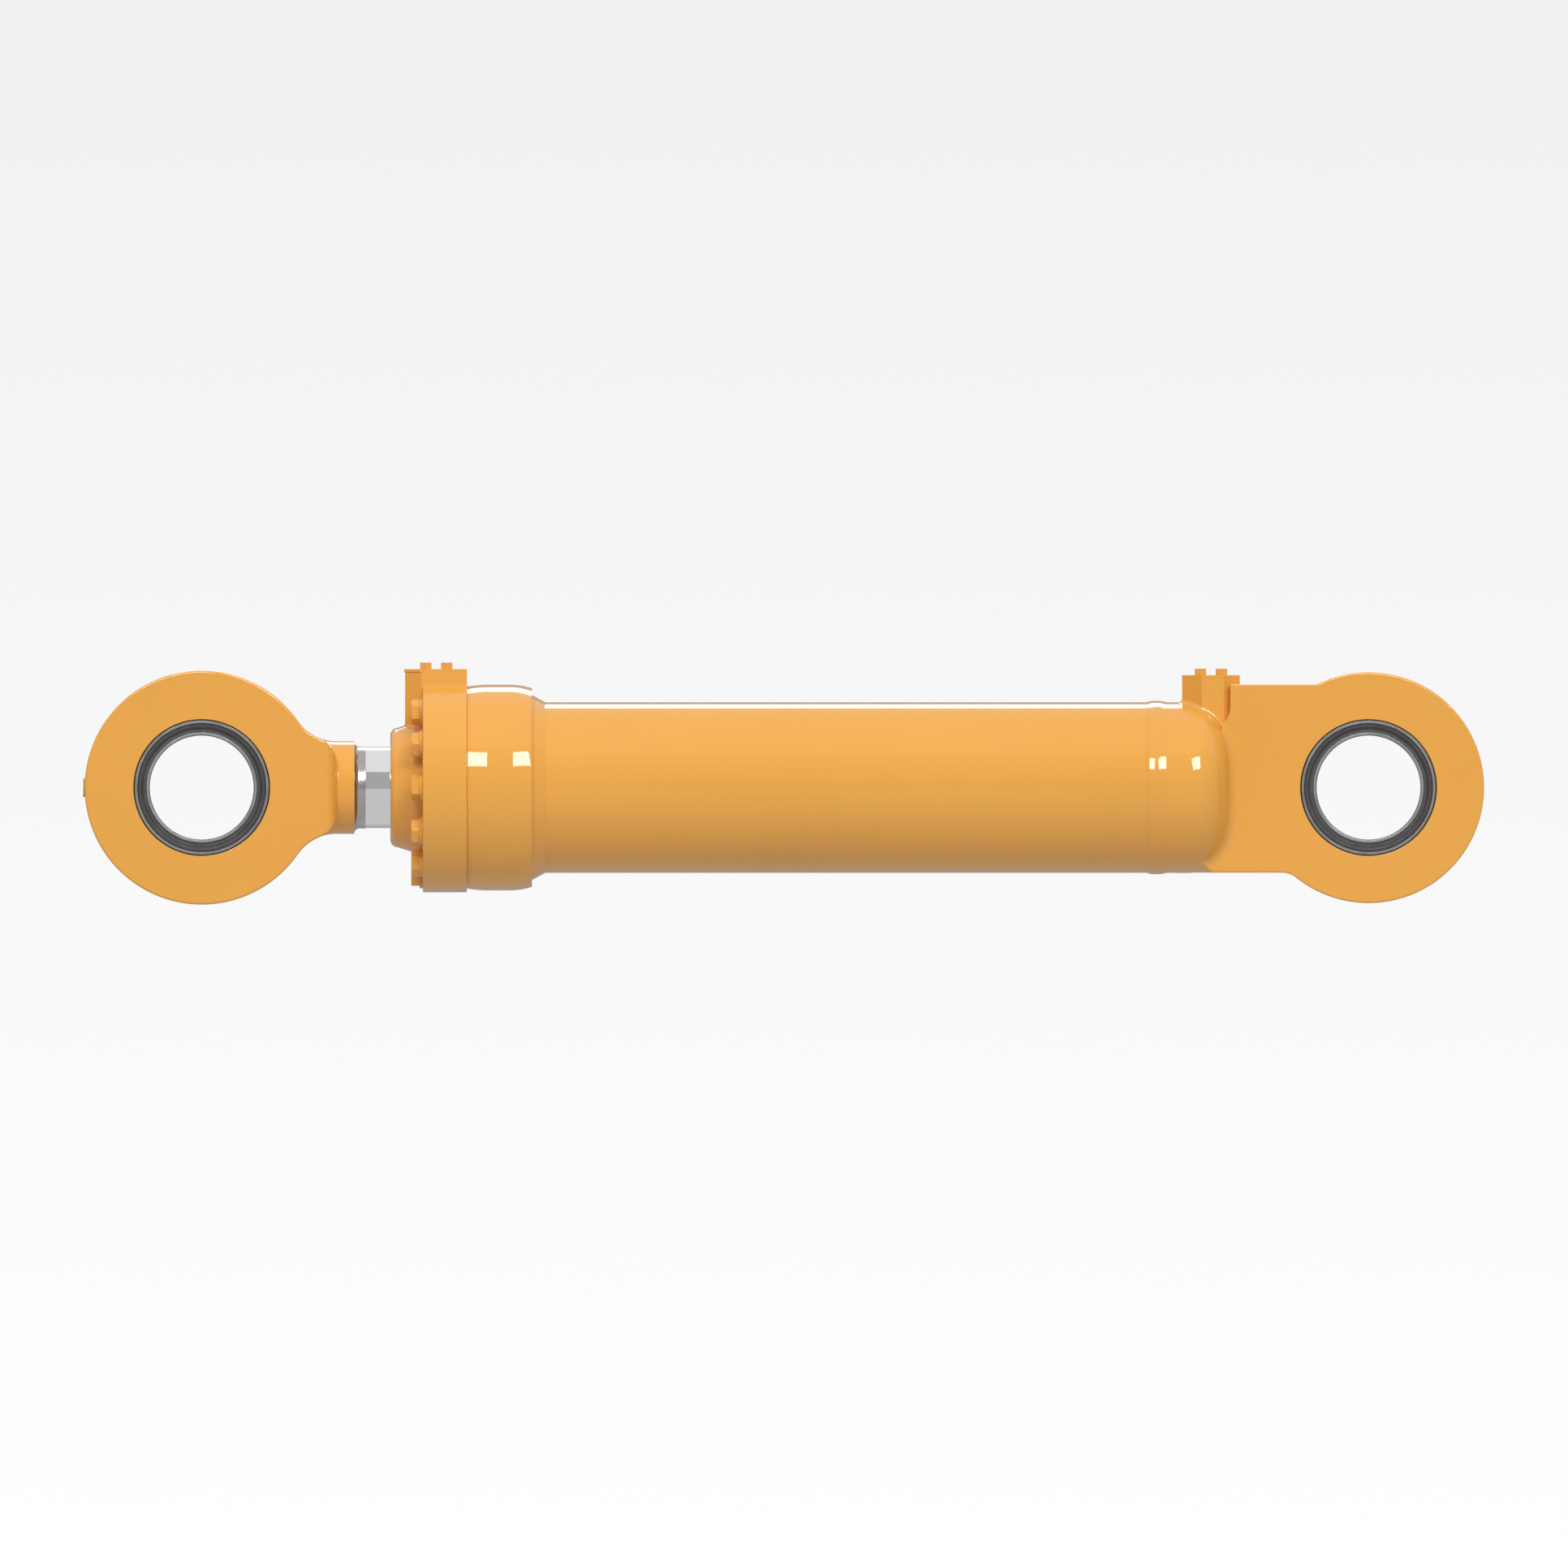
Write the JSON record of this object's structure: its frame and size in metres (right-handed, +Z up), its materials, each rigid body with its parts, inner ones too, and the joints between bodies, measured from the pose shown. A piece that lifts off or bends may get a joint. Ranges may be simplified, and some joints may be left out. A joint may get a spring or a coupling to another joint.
{
  "type": "hydraulic cylinder",
  "caption": "Double-acting hydraulic cylinder with bolted head, welded barrel, chromed rod and sealed pin eyes at both ends.",
  "frame": {"origin": "centre of the base pin bore, midway across the base eye", "axes": "+X along the cylinder from the rod eye towards the base eye, +Y along the pin bores, +Z up on the side that carries both oil ports; rod drawn fully retracted"},
  "size_m": [1.753, 0.2622, 0.303],
  "materials": {
    "barrel_tube": "semi-gloss amber machinery paint",
    "base_end": "semi-gloss amber machinery paint",
    "base_grease_fitting": "machined and zinc plated steel",
    "base_pin_bushing": "machined steel",
    "base_port_bolts": "semi-gloss amber machinery paint",
    "base_port_cover": "semi-gloss amber machinery paint",
    "base_port_o_ring": "moulded nitrile or polyurethane",
    "base_seal_case_back": "machined and zinc plated steel",
    "base_seal_case_front": "machined and zinc plated steel",
    "base_seal_lip_back": "dark reddish elastomer",
    "base_seal_lip_front": "dark reddish elastomer",
    "base_weld": "semi-gloss amber machinery paint",
    "bolt_collar": "semi-gloss amber machinery paint",
    "collar_weld": "semi-gloss amber machinery paint",
    "gland_bushing": "bearing bronze",
    "head_backup_ring": "filled bearing plastic",
    "head_bolt_washers": "semi-gloss amber machinery paint",
    "head_bolts": "semi-gloss amber machinery paint",
    "head_gland": "semi-gloss amber machinery paint",
    "head_o_ring": "moulded nitrile or polyurethane",
    "head_port_bolts": "semi-gloss amber machinery paint",
    "head_port_cover": "semi-gloss amber machinery paint",
    "head_port_o_ring": "moulded nitrile or polyurethane",
    "nut_set_screw": "machined steel",
    "piston": "ductile iron",
    "piston_nut": "machined steel",
    "piston_o_ring": "moulded nitrile or polyurethane",
    "piston_rod": "hard chrome plated and polished",
    "piston_seal_expander": "moulded nitrile or polyurethane",
    "piston_seal_ring": "filled bearing plastic",
    "piston_washer": "machined steel",
    "piston_wear_ring_front": "filled bearing plastic",
    "piston_wear_ring_rear": "filled bearing plastic",
    "rod_backup_ring": "filled bearing plastic",
    "rod_buffer_seal": "filled bearing plastic",
    "rod_eye": "semi-gloss amber machinery paint",
    "rod_grease_fitting": "machined and zinc plated steel",
    "rod_pin_bushing": "machined steel",
    "rod_seal_case_back": "machined and zinc plated steel",
    "rod_seal_case_front": "machined and zinc plated steel",
    "rod_seal_lip_back": "dark reddish elastomer",
    "rod_seal_lip_front": "dark reddish elastomer",
    "rod_u_cup": "moulded nitrile or polyurethane",
    "rod_weld_collar": "machined steel",
    "rod_wiper": "moulded nitrile or polyurethane"
  },
  "bodies": {
    "barrel": {"barrel_tube": "barrel_tube", "base_end": "base_end", "base_grease_fitting": "base_grease_fitting", "base_pin_bushing": "base_pin_bushing", "base_port_bolts": "base_port_bolts", "base_port_cover": "base_port_cover", "base_port_o_ring": "base_port_o_ring", "base_seal_case_back": "base_seal_case_back", "base_seal_case_front": "base_seal_case_front", "base_seal_lip_back": "base_seal_lip_back", "base_seal_lip_front": "base_seal_lip_front", "base_weld": "base_weld", "bolt_collar": "bolt_collar", "collar_weld": "collar_weld", "gland_bushing": "gland_bushing", "head_backup_ring": "head_backup_ring", "head_bolt_washers": "head_bolt_washers", "head_bolts": "head_bolts", "head_gland": "head_gland", "head_o_ring": "head_o_ring", "head_port_bolts": "head_port_bolts", "head_port_cover": "head_port_cover", "head_port_o_ring": "head_port_o_ring", "rod_backup_ring": "rod_backup_ring", "rod_buffer_seal": "rod_buffer_seal", "rod_u_cup": "rod_u_cup", "rod_wiper": "rod_wiper"},
    "piston_rings": {"piston_wear_ring_front": "piston_wear_ring_front", "piston_wear_ring_rear": "piston_wear_ring_rear", "piston_seal_ring": "piston_seal_ring", "piston_seal_expander": "piston_seal_expander"},
    "rod": {"rod_eye": "rod_eye", "rod_weld_collar": "rod_weld_collar", "piston_rod": "piston_rod", "rod_pin_bushing": "rod_pin_bushing", "rod_grease_fitting": "rod_grease_fitting", "rod_seal_case_front": "rod_seal_case_front", "rod_seal_case_back": "rod_seal_case_back", "rod_seal_lip_front": "rod_seal_lip_front", "rod_seal_lip_back": "rod_seal_lip_back", "piston": "piston", "piston_o_ring": "piston_o_ring", "piston_washer": "piston_washer", "piston_nut": "piston_nut", "nut_set_screw": "nut_set_screw"}
  },
  "joints": [
    {"name": "rod_slide", "type": "slide", "parent": "barrel", "child": "piston_rings", "axis": [-1, 0, 0], "range_m": [0, 0.69]},
    {"name": "rod_turn", "type": "hinge", "parent": "piston_rings", "child": "rod", "pos_m": [-0.3105, 0, 0], "axis": [1, 0, 0], "continuous": true}
  ]
}
